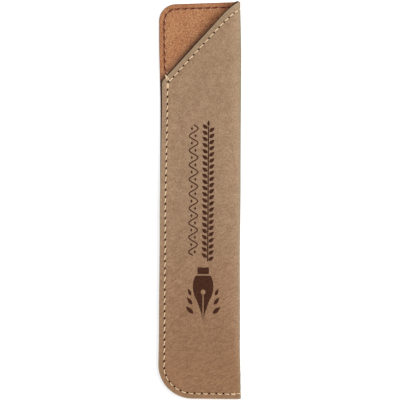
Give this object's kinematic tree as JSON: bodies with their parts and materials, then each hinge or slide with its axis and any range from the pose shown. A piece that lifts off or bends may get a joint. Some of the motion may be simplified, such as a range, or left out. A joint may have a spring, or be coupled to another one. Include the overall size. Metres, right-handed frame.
{
  "type": "fountain pen case",
  "caption": "Flat slip-in sleeve for one pen: a lined leatherette blank folded along one side, sewn along the other side and the bottom, with a slanted mouth and a rounded flap.",
  "frame": {"origin": "centre of the flat back panel's outer face, under the middle of the case's box", "axes": "+X across the case towards the fold, +Y along the case towards the flap, +Z out of the front panel"},
  "size_m": [0.0328, 0.1588, 0.0085],
  "materials": {
    "leatherette": "fine matt grain, light tan-grey",
    "lining_suede": "short brushed nap, orange tan",
    "cream_thread": "twisted polyester, satin",
    "brown_thread": "twisted polyester, satin"
  },
  "bodies": {
    "root": {"outer_cover": "leatherette", "lining": "lining_suede", "closing_needle_thread": "cream_thread", "closing_bobbin_thread": "cream_thread", "mouth_tack": "cream_thread", "base_tack": "cream_thread", "edge_needle_thread": "cream_thread", "edge_bobbin_thread": "brown_thread"}
  },
  "joints": []
}
